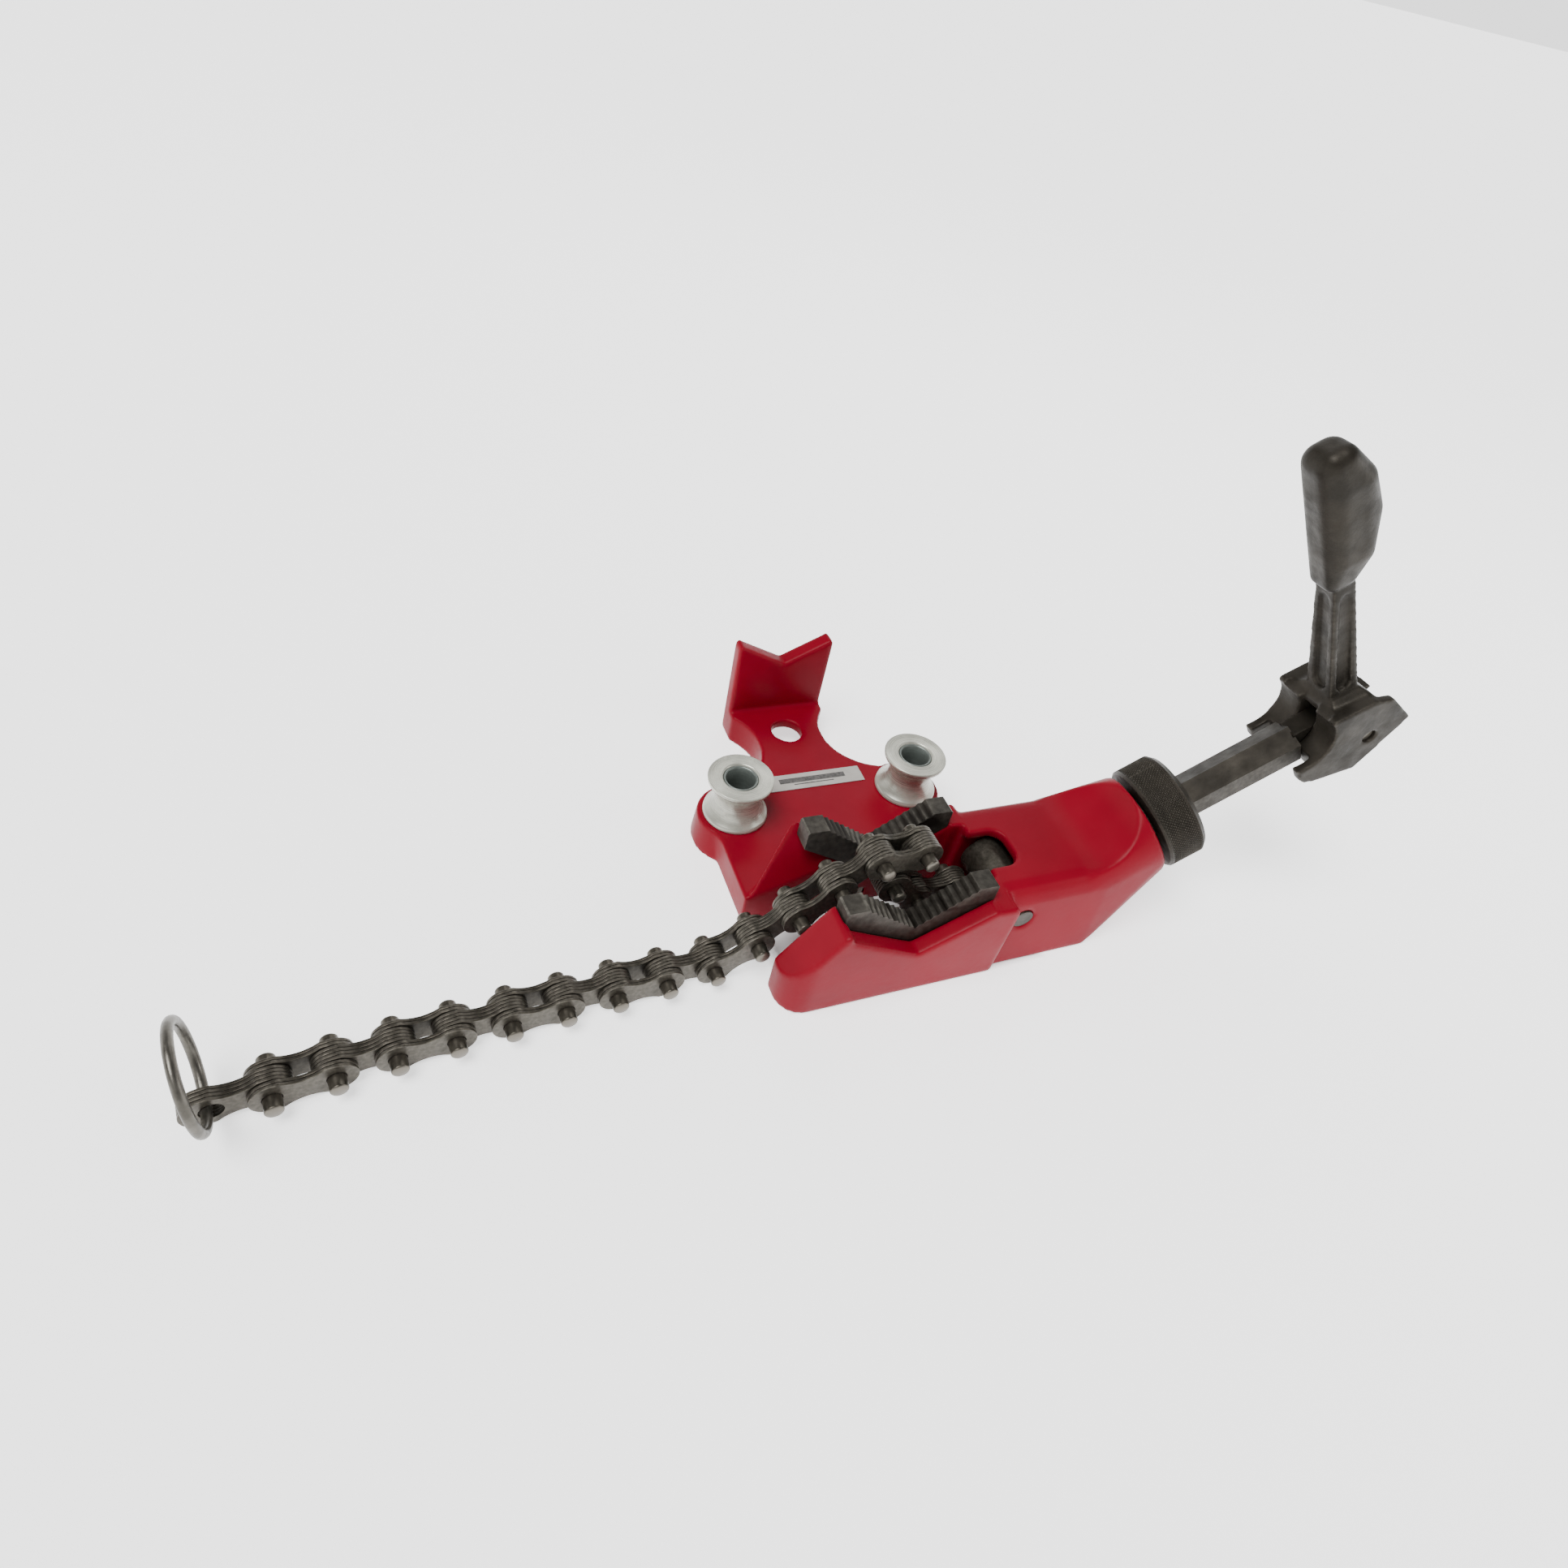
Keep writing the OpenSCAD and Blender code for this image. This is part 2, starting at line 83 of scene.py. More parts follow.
class Graph:
    """A material's node tree with short calls for the nodes that this script uses."""

    def __init__(self, name):
        self.material = bpy.data.materials.new(name)
        self.material.use_nodes = True
        self.tree = self.material.node_tree
        self.shader = self.tree.nodes["Principled BSDF"]
        self.place = self.node("ShaderNodeTexCoord").outputs["Object"]

    def node(self, kind, **settings):
        made = self.tree.nodes.new(kind)
        for key, value in settings.items():
            setattr(made, key, value)
        return made

    def link(self, source, target):
        self.tree.links.new(source, target)

    def feed(self, socket, value):
        if isinstance(value, bpy.types.NodeSocket):
            self.link(value, socket)
        else:
            socket.default_value = value

    def math(self, operation, a, b=0.0):
        made = self.node("ShaderNodeMath", operation=operation)
        self.feed(made.inputs[0], a)
        self.feed(made.inputs[1], b)
        return made.outputs[0]

    def noise(self, scale, detail=4.0, rough=0.55, place=None):
        made = self.node("ShaderNodeTexNoise")
        self.link(place or self.place, made.inputs["Vector"])
        made.inputs["Scale"].default_value = scale
        made.inputs["Detail"].default_value = detail
        made.inputs["Roughness"].default_value = rough
        return made.outputs["Fac"]

    def stretch(self, scale):
        made = self.node("ShaderNodeMapping")
        self.link(self.place, made.inputs["Vector"])
        made.inputs["Scale"].default_value = scale
        return made.outputs["Vector"]

    def ramp(self, value, low, high, start=0.35, end=0.65):
        made = self.node("ShaderNodeValToRGB")
        self.link(value, made.inputs["Fac"])
        first, last = made.color_ramp.elements
        first.position, last.position = start, end
        first.color, last.color = (*low, 1), (*high, 1)
        return made.outputs["Color"]

    def spread(self, value, low, high, start=0.3, end=0.7):
        made = self.node("ShaderNodeMapRange")
        self.link(value, made.inputs["Value"])
        for key, number in (("From Min", start), ("From Max", end), ("To Min", low), ("To Max", high)):
            made.inputs[key].default_value = number
        return made.outputs["Result"]

    def mix(self, share, a, b):
        made = self.node("ShaderNodeMix", data_type="RGBA")
        self.feed(made.inputs["Factor"], share)
        self.feed(made.inputs["A"], a if isinstance(a, bpy.types.NodeSocket) else (*a, 1))
        self.feed(made.inputs["B"], b if isinstance(b, bpy.types.NodeSocket) else (*b, 1))
        return made.outputs["Result"]

    def bump(self, height, depth, strength=1.0, below=None):
        made = self.node("ShaderNodeBump")
        self.link(height, made.inputs["Height"])
        made.inputs["Distance"].default_value = depth
        made.inputs["Strength"].default_value = strength
        if below is not None:
            self.link(below, made.inputs["Normal"])
        return made.outputs["Normal"]

    def edges(self, start=0.52, end=0.6):
        """1 along sharp outside edges, 0 elsewhere."""
        geometry = self.node("ShaderNodeNewGeometry")
        return self.spread(geometry.outputs["Pointiness"], 0.0, 1.0, start, end)

    def finish(self, color, roughness, normal, metallic=0.0):
        self.feed(self.shader.inputs["Base Color"], color)
        self.feed(self.shader.inputs["Roughness"], roughness)
        self.shader.inputs["Metallic"].default_value = metallic
        self.link(normal, self.shader.inputs["Normal"])
        return self.material


# ---- Materials ----

def red_enamel():
    """Gloss enamel over a sand casting: faint grain, slow colour drift and thin paint on the edges."""
    g = Graph("red_enamel")
    drift = g.noise(14, 3)
    grain = g.noise(900, 3, 0.6)
    color = g.ramp(drift, (0.16, 0.0022, 0.0098), (0.2, 0.003, 0.0125))
    thin = g.math("MULTIPLY", g.edges(0.53, 0.62), g.spread(g.noise(260, 5), 0.0, 0.5))
    color = g.mix(thin, color, (0.11, 0.006, 0.010))
    rough = g.spread(g.noise(60, 5), 0.28, 0.4)
    orange_peel = g.bump(g.noise(230, 2), 0.00012, 0.5)
    g.shader.inputs["Specular IOR Level"].default_value = 0.07
    return g.finish(color, rough, g.bump(grain, 0.00005, 0.35, orange_peel))


def dark_iron():
    """Dark oxide over a rough forging, rubbed bright along the edges."""
    g = Graph("dark_iron")
    tone = g.ramp(g.noise(55, 6), (0.0135, 0.0115, 0.0085), (0.026, 0.0222, 0.017))
    worn = g.math("MULTIPLY", g.edges(0.52, 0.6), g.spread(g.noise(400, 5), 0.2, 0.9))
    color = g.mix(worn, tone, (0.12, 0.108, 0.09))
    rough = g.spread(g.noise(120, 5), 0.38, 0.6)
    scale = g.bump(g.noise(320, 5, 0.6), 0.00022, 0.55)
    g.shader.inputs["Specular IOR Level"].default_value = 0.2
    return g.finish(color, rough, g.bump(g.noise(1500, 3), 0.00006, 0.4, scale), 0.55)


def jaw_steel():
    """Oiled tool steel with milling lines across the teeth."""
    g = Graph("jaw_steel")
    tone = g.ramp(g.noise(70, 6), (0.008, 0.0062, 0.0046), (0.0145, 0.0115, 0.0088))
    worn = g.math("MULTIPLY", g.edges(0.515, 0.58), g.spread(g.noise(300, 4), 0.35, 1.0))
    color = g.mix(worn, tone, (0.15, 0.14, 0.12))
    lines = g.noise(1, 4, 0.6, g.stretch((1600, 60, 1600)))
    rough = g.spread(g.noise(160, 5), 0.34, 0.55)
    g.shader.inputs["Specular IOR Level"].default_value = 0.2
    return g.finish(color, rough, g.bump(lines, 0.00007, 0.5), 0.7)


def chain_steel():
    """Oiled steel plate: punched, slightly brown, with fine scratches along each link."""
    g = Graph("chain_steel")
    tone = g.ramp(g.noise(90, 6), (0.0165, 0.014, 0.0098), (0.031, 0.0268, 0.0192))
    worn = g.math("MULTIPLY", g.edges(0.515, 0.58), g.spread(g.noise(500, 4), 0.2, 0.8))
    color = g.mix(worn, tone, (0.22, 0.20, 0.165))
    scratches = g.noise(1, 5, 0.65, g.stretch((120, 900, 900)))
    rough = g.spread(g.noise(200, 5), 0.32, 0.5)
    pits = g.bump(g.noise(700, 4), 0.00008, 0.5)
    return g.finish(color, rough, g.bump(scratches, 0.00005, 0.45, pits), 0.75)


def pin_steel():
    """Ground steel of the chain's pins, brighter on the faced ends. A pin lies along its piece's own Y."""
    g = Graph("pin_steel")
    tone = g.ramp(g.noise(150, 5), (0.05, 0.0445, 0.035), (0.095, 0.085, 0.068))
    split = g.node("ShaderNodeSeparateXYZ")
    g.link(g.place, split.inputs["Vector"])
    faced = g.spread(g.math("ABSOLUTE", split.outputs["Y"]), 0.0, 0.8, 13.1 * MM, 13.8 * MM)
    tone = g.mix(faced, tone, (0.17, 0.155, 0.13))
    rough = g.spread(g.noise(240, 5), 0.26, 0.42)
    return g.finish(tone, rough, g.bump(g.noise(900, 4), 0.00006, 0.5), 0.8)


def turned(name, low, high, metallic, rough_low, rough_high, rings, depth=0.00005):
    """Turned metal. The piece's own Z is the lathe's axis, so the tool marks are rings about it."""
    g = Graph(name)
    split = g.node("ShaderNodeSeparateXYZ")
    g.link(g.place, split.inputs["Vector"])
    across = g.math("SQRT", g.math("ADD", g.math("POWER", split.outputs["X"], 2.0),
                                   g.math("POWER", split.outputs["Y"], 2.0)))
    down = g.math("MULTIPLY", split.outputs["Z"], rings)
    run = g.math("ADD", g.math("MULTIPLY", across, rings), down)
    spaced = g.node("ShaderNodeCombineXYZ")
    g.link(run, spaced.inputs["X"])
    marks = g.noise(1.0, 3, 0.7, spaced.outputs["Vector"])
    tone = g.ramp(g.noise(45, 4), low, high)
    tone = g.mix(g.spread(marks, 0.0, 0.75, 0.35, 0.65), tone, high)
    rough = g.spread(marks, rough_low, rough_high)
    return g.finish(tone, rough, g.bump(marks, depth, 0.6), metallic)


def drawn_wire():
    """Plain drawn wire with faint lengthwise marks and a dull film."""
    g = Graph("drawn_wire")
    tone = g.ramp(g.noise(160, 5), (0.075, 0.07, 0.06), (0.13, 0.122, 0.106))
    rough = g.spread(g.noise(300, 4), 0.28, 0.45)
    return g.finish(tone, rough, g.bump(g.noise(1100, 3), 0.00005, 0.5), 0.85)


def screw_steel():
    """Steel screw. The thread is a ridge that climbs one lead a turn about the screw's own axis."""
    g = Graph("screw_steel")
    inverse = SCREW_PLACE.inverted()
    rows = [g.node("ShaderNodeVectorMath", operation="DOT_PRODUCT") for _ in range(3)]
    axes = []
    for row, made in zip(inverse, rows):
        g.link(g.place, made.inputs[0])
        made.inputs[1].default_value = row[:3]
        axes.append(g.math("ADD", made.outputs["Value"], row[3]))
    angle = g.math("DIVIDE", g.math("ARCTAN2", axes[1], axes[0]), tau)
    phase = g.math("SUBTRACT", g.math("DIVIDE", axes[2], LEAD), angle)
    ridge = g.math("PINGPONG", phase, 0.5)
    # Painted shade: the colour follows the thread, dark in its roots and light on its crests.
    tone = g.ramp(ridge, (0.05, 0.045, 0.04), (0.22, 0.205, 0.18), 0.1, 0.4)
    rough = g.spread(g.noise(180, 4), 0.3, 0.45)
    return g.finish(tone, rough, g.bump(ridge, 0.0022, 0.9), 0.8)


def printed_label():
    """Pale printed label: a thin frame and two plain bars, with no words."""
    g = Graph("printed_label")
    low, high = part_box("label_plate")
    split = g.node("ShaderNodeSeparateXYZ")
    g.link(g.place, split.inputs["Vector"])
    x = g.math("ABSOLUTE", split.outputs["X"])
    y = g.math("SUBTRACT", split.outputs["Y"], (low[1] + high[1]) / 2)
    half_w = (high[0] - low[0]) / 2
    half_h = (high[1] - low[1]) / 2

    def bar(centre, half_length, half_width):
        inside_x = g.math("LESS_THAN", x, half_length)
        off = g.math("ABSOLUTE", g.math("SUBTRACT", y, centre))
        return g.math("MULTIPLY", inside_x, g.math("LESS_THAN", off, half_width))

    frame_w, frame_h = 1.2 * MM, 1.0 * MM
    edge = g.math("MAXIMUM", g.math("GREATER_THAN", x, half_w - frame_w),
                  g.math("GREATER_THAN", g.math("ABSOLUTE", y), half_h - frame_h))
    wide_bar = bar(0.9 * MM, half_w * 0.66, 2.0 * MM)
    thin_bar = bar(-2.6 * MM, half_w * 0.4, 0.45 * MM)
    ink = g.math("MAXIMUM", wide_bar, thin_bar)
    ink = g.math("MULTIPLY", ink, g.spread(g.noise(700, 4), 0.75, 0.95))
    paper = g.ramp(g.noise(90, 5), (0.33, 0.31, 0.28), (0.40, 0.38, 0.35))
    color = g.mix(ink, paper, (0.012, 0.012, 0.013))
    color = g.mix(g.math("MULTIPLY", edge, 0.5), color, (0.35, 0.34, 0.33))
    return g.finish(color, g.spread(g.noise(300, 3), 0.42, 0.55), g.bump(g.noise(1200, 2), 0.00003, 0.4))


# ---- Mesh helpers ----

def new_piece(name, verts, faces, material, body, node, place):
    """A smooth piece made in its own frame and set at place. It replaces a node and rides on a body."""
    mesh = bpy.data.meshes.new(name)
    mesh.from_pydata(verts, [], faces)
    mesh.validate()
    mesh.update()
    piece = bpy.data.objects.new(name, mesh)
    bpy.context.scene.collection.objects.link(piece)
    mesh.materials.append(material)
    mesh.shade_smooth()
    piece.matrix_world = place
    bpy.context.view_layer.update()
    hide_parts(node)
    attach(piece, body)
    return piece


def weld(piece):
    """Joins the drawn solid's doubled points."""
    piece.modifiers.new("weld", "WELD").merge_threshold = 0.01 * MM


def bevel(piece, width, angle=35, segments=2):
    """Rounds the sharp edges and keeps the flats flat."""
    weld(piece)
    made = piece.modifiers.new("bevel", "BEVEL")
    made.width = width
    made.segments = segments
    made.limit_method = "ANGLE"
    made.angle_limit = radians(angle)
    made.harden_normals = False
    piece.data.shade_smooth()
    by_angle = piece.modifiers.new("normals", "WEIGHTED_NORMAL")
    by_angle.keep_sharp = True


def cast(piece, voxel, passes):
    """Turns a drawn solid into a casting: every edge and corner rounded the same small amount."""
    weld(piece)
    remesh = piece.modifiers.new("remesh", "REMESH")
    remesh.mode = "VOXEL"
    remesh.voxel_size = voxel
    remesh.use_smooth_shade = True
    soften = piece.modifiers.new("soften", "SMOOTH")
    soften.factor = 0.5
    soften.iterations = passes


def paint(node, material):
    nodes[node].data.materials.clear()
    nodes[node].data.materials.append(material)


def lathe(profile, steps=96):
    """Verts and faces of a closed (radius, height) outline turned about Z."""
    count = len(profile)
    turns = [tau * k / steps for k in range(steps)]
    verts = [(r * cos(t), r * sin(t), z) for t in turns for r, z in profile]
    faces = []
    for k in range(steps):
        here, there = k * count, (k + 1) % steps * count
        for i in range(count):
            j = (i + 1) % count
            faces.append((here + i, there + i, there + j, here + j))
    return verts, faces


def arc(cx, cy, r, start, end, steps):
    """Points on an arc, in degrees."""
    turns = [radians(start + (end - start) * k / steps) for k in range(steps + 1)]
    return [(cx + r * cos(t), cy + r * sin(t)) for t in turns]


# ---- Rollers and sleeves ----

def bending_roller(side, body, material):
    node = side + "_bending_roller"
    low, high = (Vector(corner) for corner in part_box(node))
    centre = (low + high) / 2
    flange, height = (high.x - low.x) / 2, high.z - low.z
    waist, bore, rim, round_top = 13.2 * MM, 10.05 * MM, 2.3 * MM, 1.5 * MM
    depth = flange - waist
    groove_h = height - 2 * rim
    groove_r = (groove_h ** 2 / 4 + depth ** 2) / (2 * depth)
    sweep = 180 / pi * asin(groove_h / 2 / groove_r)
    soft = 0.7 * MM
    profile = [(bore, 0.6 * MM), (bore + 0.6 * MM, 0)]
    profile += arc(flange - soft, soft, soft, -90, 0, 5)
    profile += arc(waist + groove_r, height / 2, groove_r, 180 + sweep * 0.97, 180 - sweep * 0.97, 28)
    profile += arc(flange - soft, height - soft, soft, 0, 90, 5)
    profile += arc(bore + round_top, height - round_top, round_top, 90, 180, 6)
    verts, faces = lathe(profile, 128)
    place = Matrix.Translation((centre.x, centre.y, low.z))
    new_piece(side + "_roller_piece", verts, faces, material, body, node, place)


def bolt_sleeve(side, material):
    node = side + "_sleeve"
    low, high = (Vector(corner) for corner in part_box(node))
    centre = (low + high) / 2
    outer, height, bore = (high.x - low.x) / 2, high.z - low.z, 8.5 * MM
    soft = 0.5 * MM
    profile = arc(outer - soft, soft, soft, -90, 0, 4)
    profile += arc(outer - soft, height - soft, soft, 0, 90, 4)
    profile += [(bore + soft, height), (bore, height - soft), (bore, soft), (bore + soft, 0)]
    verts, faces = lathe(profile, 96)
    place = Matrix.Translation((centre.x, centre.y, low.z))
    new_piece(side + "_sleeve_piece", verts, faces, material, "base", node, place)


# ---- Knurled collar ----

def knurled_collar(material):
    """Collar with a real diamond knurl, chamfered at both ends, on the screw's axis."""
    outer, length = 31 * MM, 22.5 * MM
    depth, starts, cuts = 0.6 * MM, 100, 92
    steps, rows = starts * 6, cuts
    inner_edge, outer_edge = 1.2 * MM, 2.6 * MM
    verts, faces = [], []

    def fold(value):
        part = value % 1.0
        return abs(2 * part - 1)

    lead_in = 1.6 * MM
    for row in range(rows + 1):
        z = inner_edge + (length - inner_edge - outer_edge) * row / rows
        end = min(z - inner_edge, length - outer_edge - z)
        fade = min(1.0, max(0.0, end / lead_in))
        for k in range(steps):
            turn = k / steps * starts
            climb = z / (tau * outer / starts)
            cut = min(1.0, 1.25 * max(fold(turn + climb), fold(turn - climb)) - 0.25)
            r = outer - depth * fade * cut
            verts.append((r * cos(tau * k / steps), r * sin(tau * k / steps), z))
    rings = [list(range(row * steps, (row + 1) * steps)) for row in range(rows + 1)]

    def add_ring(radius, z):
        start = len(verts)
        turns = [tau * k / steps for k in range(steps)]
        verts.extend((radius * cos(t), radius * sin(t), z) for t in turns)
        return list(range(start, start + steps))

    hole = 12 * MM
    back = [add_ring(hole, 0), add_ring(outer - inner_edge * 1.1, 0),
            add_ring(outer - 0.25 * MM, inner_edge * 0.8)]
    front = [add_ring(outer - 0.3 * MM, length - outer_edge * 0.92),
             add_ring(outer - outer_edge * 0.9, length), add_ring(hole, length)]
    order = back + rings + front
    for a, b in zip(order, order[1:]):
        for k in range(steps):
            j = (k + 1) % steps
            faces.append((a[k], a[j], b[j], b[k]))
    piece = new_piece("knurled_collar_piece", verts, faces, material, "nut", "knurled_collar",
                      SCREW_PLACE)
    sharp = piece.modifiers.new("normals", "EDGE_SPLIT")
    sharp.split_angle = radians(38)


# ---- Chain ----

def plate_rings(holes, steps=20):
    """Waisted outline of a plate and its (place, radius) holes, in the plate's own plane."""
    waist_r, waist_y = 16 * MM, 22.5 * MM
    half = sqrt(waist_r ** 2 - (waist_y - LINK_R) ** 2)
    sweep = 180 / pi * asin(half / waist_r)
    outline = arc(0, 0, LINK_R, 90, 270, steps)
    outline += arc(PITCH / 2, -waist_y, waist_r, 90 + sweep, 90 - sweep, 12)
    outline += arc(PITCH, 0, LINK_R, -90, 90, steps)
    outline += arc(PITCH / 2, waist_y, waist_r, -90 + sweep, -90 - sweep, 12)
    return [outline] + [arc(x, 0, r, 0, 360, 28)[:-1] for x, r in holes]


def add_plate(bm, y, holes):
    """One plate, LEAF_T thick, centred on y in the link's own frame."""
    edges = []
    for ring in plate_rings(holes):
        verts = [bm.verts.new((px, y - LEAF_T / 2, pz)) for px, pz in ring]
        edges += [bm.edges.new((verts[i], verts[(i + 1) % len(verts)])) for i in range(len(verts))]
    filled = bmesh.ops.triangle_fill(bm, use_beauty=True, use_dissolve=True, edges=edges)
    made = [f for f in filled["geom"] if isinstance(f, bmesh.types.BMFace)]
    bmesh.ops.recalc_face_normals(bm, faces=made)
    moved = bmesh.ops.extrude_face_region(bm, geom=made)
    top = [v for v in moved["geom"] if isinstance(v, bmesh.types.BMVert)]
    bmesh.ops.translate(bm, verts=top, vec=(0, LEAF_T, 0))


def add_pin(bm, x, length, index):
    """A pin along Y with chamfered, slightly domed ends."""
    half, soft, crown = length / 2, 0.75 * MM, 0.35 * MM
    end = [(0, half + crown), (PIN_R * 0.55, half + 0.2 * MM), (PIN_R - soft, half - 0.02 * MM),
           (PIN_R, half - soft)]
    profile = [(r, -y) for r, y in end] + end[::-1]
    steps = 28
    rings = []
    for r, y in profile:
        if r == 0:
            rings.append([bm.verts.new((x, y, 0))])
        else:
            turns = [tau * k / steps for k in range(steps)]
            rings.append([bm.verts.new((x + r * cos(t), y, r * sin(t))) for t in turns])
    for a, b in zip(rings, rings[1:]):
        for k in range(steps):
            j = (k + 1) % steps
            corners = [a[0] if len(a) == 1 else a[k], a[0] if len(a) == 1 else a[j],
                       b[0] if len(b) == 1 else b[j], b[0] if len(b) == 1 else b[k]]
            face = bm.faces.new(list(dict.fromkeys(corners)))
            face.material_index = index


def link_frame(i):
    """The frame of link i: X towards pin i + 1 and Y along its pins."""
    along = (pin_place(i + 1) - pin_place(i)).normalized()
    start = pin_place(i + 1) - PITCH * along
    across = Vector((0, 0, 1)).cross(along).normalized()
    up = along.cross(across)
    turn = Matrix((along, across, up)).transposed().to_4x4()
    return Matrix.Translation(start) @ turn


def chain_link(i, plate_steel, pin_material):
    outer = i % 2 == 1
    if outer:
        places = [s * (OUTER_GAP + PLATE_T * (n + 0.5)) for s in (-1, 1) for n in range(2)]
    else:
        places = [PLATE_T * (n - 1.5) for n in range(4)]
    pin_hole = PIN_R + 0.12 * MM
    holes = [(RING_HOLE_X, RING_HOLE_R) if i == 0 else (0, pin_hole), (PITCH, pin_hole)]
    bm = bmesh.new()
    for y in places:
        add_plate(bm, y, holes)
    bmesh.ops.recalc_face_normals(bm, faces=bm.faces[:])
    if outer:
        for x in (0, PITCH):
            add_pin(bm, x, PIN_LEN, 1)
        bmesh.ops.recalc_face_normals(bm, faces=bm.faces[:])
    name = ("outer" if outer else "inner") + "_link_%02d" % i
    mesh = bpy.data.meshes.new(name + "_piece")
    bm.to_mesh(mesh)
    bm.free()
    mesh.materials.append(plate_steel)
    mesh.materials.append(pin_material)
    piece = bpy.data.objects.new(name + "_piece", mesh)
    bpy.context.scene.collection.objects.link(piece)
    piece.matrix_world = link_frame(i)
    bpy.context.view_layer.update()
    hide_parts(name)
    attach(piece, "link_%02d" % i)
    rounded = piece.modifiers.new("bevel", "BEVEL")
    rounded.width = 0.3 * MM
    rounded.segments = 2
    rounded.limit_method = "ANGLE"
    rounded.angle_limit = radians(40)
    mesh.shade_smooth()
    piece.modifiers.new("normals", "WEIGHTED_NORMAL")


# ---- Stage ----

def floor():
    """A pale, faintly glowing floor. It glows less under the casting, where the weaker glow is a painted
    shadow.
    """
    size = 60.0
    corners = [(-size, -size, 0), (size, -size, 0), (size, size, 0), (-size, size, 0)]
    mesh = bpy.data.meshes.new("floor")
    mesh.from_pydata(corners, [], [(0, 1, 2, 3)])
    plane = bpy.data.objects.new("floor", mesh)
    bpy.context.scene.collection.objects.link(plane)
    g = Graph("floor")
    pale = g.ramp(g.noise(3, 2), (0.92, 0.92, 0.92), (0.93, 0.93, 0.93))
    g.finish(pale, 0.9, g.bump(g.noise(20, 2), 0.0001, 0.1))
    split = g.node("ShaderNodeSeparateXYZ")
    g.link(g.place, split.inputs["Vector"])
    # Painted shadow: the glow falls to nothing inside a box under the casting and its pit, so the floor
    # there and seen through the pit is dark.
    pit_x, pit_half_x, pit_half_y = 0.015, 0.08, 0.042
    along = g.math("DIVIDE", g.math("SUBTRACT", split.outputs["X"], pit_x), pit_half_x)
    across = g.math("DIVIDE", split.outputs["Y"], pit_half_y)
    painted_shadow_reach = g.math("MAXIMUM", g.math("ABSOLUTE", along), g.math("ABSOLUTE", across))
    g.shader.inputs["Emission Color"].default_value = (1, 1, 1, 1)
    g.link(g.spread(painted_shadow_reach, 0.0, 1.25, 0.9, 1.0), g.shader.inputs["Emission Strength"])
    mesh.materials.append(g.material)


def area_light(name, place, aim, size, power):
    light = bpy.data.lights.new(name, "AREA")
    light.shape = "RECTANGLE"
    light.size, light.size_y = size
    light.energy = power
    lamp = bpy.data.objects.new(name, light)
    bpy.context.scene.collection.objects.link(lamp)
    lamp.location = place
    lamp.rotation_euler = (Vector(aim) - Vector(place)).to_track_quat("-Z", "Y").to_euler()


def studio():
    """Soft light: a room with white walls and a dim ceiling, a broad sun and two weak soft boxes."""
    world = bpy.data.worlds.new("studio")
    bpy.context.scene.world = world
    world.use_nodes = True
    tree = world.node_tree
    room = tree.nodes["Background"]
    room.inputs["Color"].default_value = (1, 1, 1, 1)
    split = tree.nodes.new("ShaderNodeSeparateXYZ")
    level = tree.nodes.new("ShaderNodeMapRange")
    tree.links.new(tree.nodes.new("ShaderNodeTexCoord").outputs["Generated"], split.inputs["Vector"])
    tree.links.new(split.outputs["Z"], level.inputs["Value"])
    for key, number in (("From Min", 0.28), ("From Max", 0.5), ("To Min", 1.9), ("To Max", 0.12)):
        level.inputs[key].default_value = number
    tree.links.new(level.outputs["Result"], room.inputs["Strength"])
    sun = bpy.data.lights.new("sun", "SUN")
    sun.energy = 4.2
    sun.angle = radians(35)
    lamp = bpy.data.objects.new("sun", sun)
    bpy.context.scene.collection.objects.link(lamp)
    lamp.rotation_euler = Vector((0.4, 0.12, -1)).to_track_quat("-Z", "Y").to_euler()
    area_light("back", (0.55, 0.9, 1.1), (0.05, 0.05, 0.05), (0.8, 0.5), 4)
    area_light("side", (1.1, -0.5, 0.6), (0.1, 0, 0.08), (0.6, 0.6), 4)


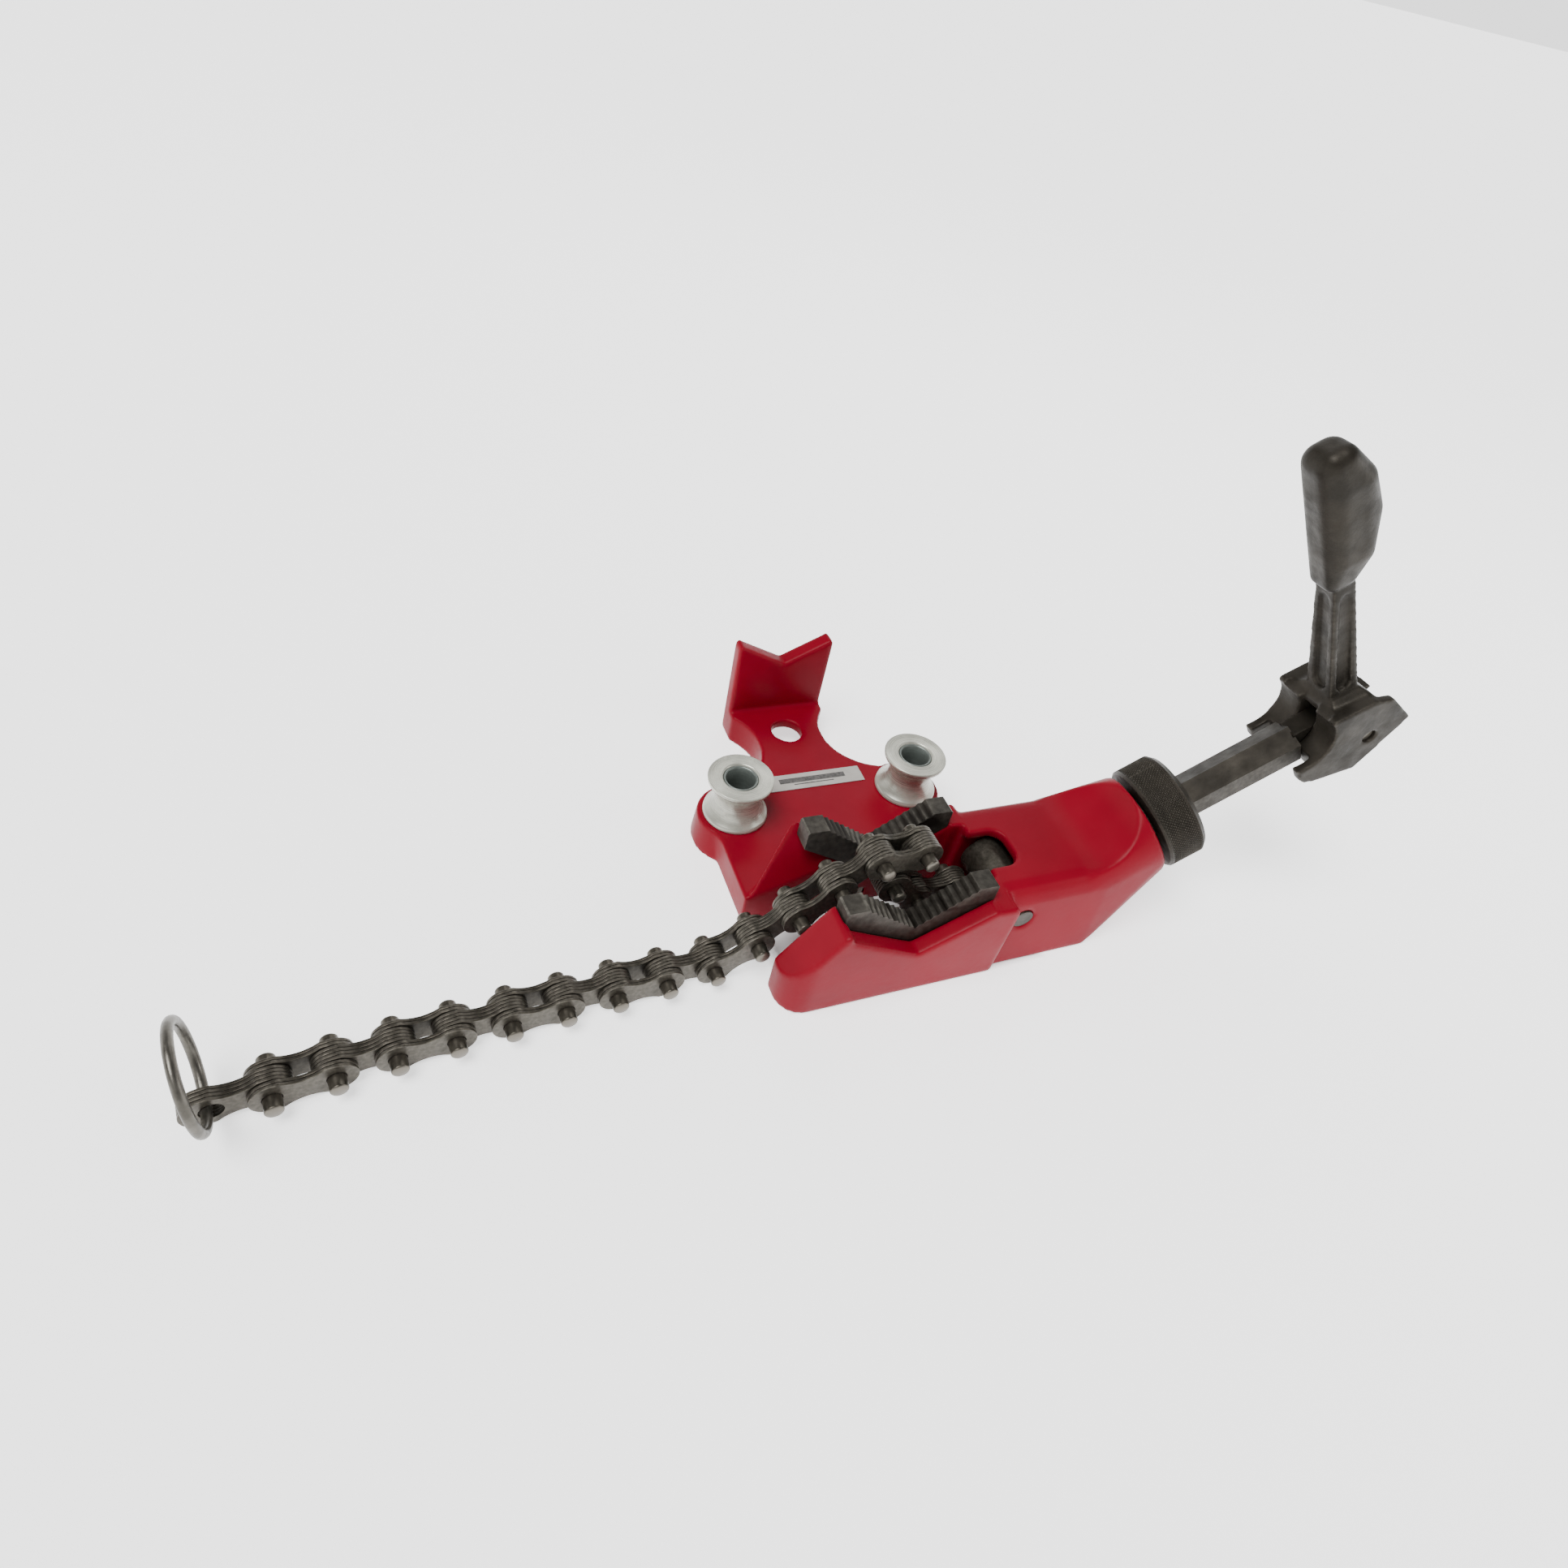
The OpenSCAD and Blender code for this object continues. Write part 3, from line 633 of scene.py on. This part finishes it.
def camera():
    """The photograph's view: a wide lens close to the vise, looking down from the left, and rolled."""
    data = bpy.data.cameras.new("camera")
    data.lens = 22.04
    data.sensor_width = 36
    data.clip_start = 0.02
    eye = bpy.data.objects.new("camera", data)
    bpy.context.scene.collection.objects.link(eye)
    right = Vector((0.9239, -0.3416, 0.1725)).normalized()
    back = Vector((-0.3614, -0.6302, 0.6872)).normalized()
    up = back.cross(right)
    turn = Matrix((right, up, back)).transposed().to_4x4()
    place = (-0.2291, -0.2665, 0.4193)
    eye.matrix_world = Matrix.Translation(place) @ turn
    bpy.context.scene.camera = eye


# ---- Making ----

camera()
floor()
studio()

enamel = red_enamel()
iron = dark_iron()
jaw = jaw_steel()
plate_steel = chain_steel()
pin_material = pin_steel()
zinc = turned("zinc", (0.19, 0.19, 0.16), (0.50, 0.50, 0.43), 0.45, 0.2, 0.38, 900, 0.00016)
sleeve = turned("turned_steel", (0.10, 0.115, 0.105), (0.17, 0.19, 0.175), 0.6, 0.25, 0.42, 900)
wire = drawn_wire()
thread = screw_steel()

paint("base_casting", enamel)
cast(nodes["base_casting"], 1.1 * MM, 10)
paint("crank_handle", iron)
cast(nodes["crank_handle"], 0.8 * MM, 9)
paint("label_plate", printed_label())
bevel(nodes["label_plate"], 0.15 * MM)
for name in ("front_jaw", "rear_jaw"):
    paint(name, jaw)
    bevel(nodes[name], 0.22 * MM)
for name in ("front_jaw_bolt", "rear_jaw_bolt", "handle_pin", "clevis_pin"):
    paint(name, pin_material)
    bevel(nodes[name], 0.3 * MM)
for name in ("guide_roller", "guide_roller_pin", "thrust_washer"):
    paint(name, plate_steel)
    bevel(nodes[name], 0.5 * MM)
paint("nut_bar", iron)
bevel(nodes["nut_bar"], 0.7 * MM, 30, 3)
paint("chain_screw", thread)
bevel(nodes["chain_screw"], 0.5 * MM)
paint("pull_ring", wire)
nodes["pull_ring"].data.shade_smooth()

for side in ("left", "right"):
    bending_roller(side, side + "_roller", zinc)
    bolt_sleeve(side, sleeve)
knurled_collar(iron)
for i in range(LAST_PIN):
    chain_link(i, plate_steel, pin_material)
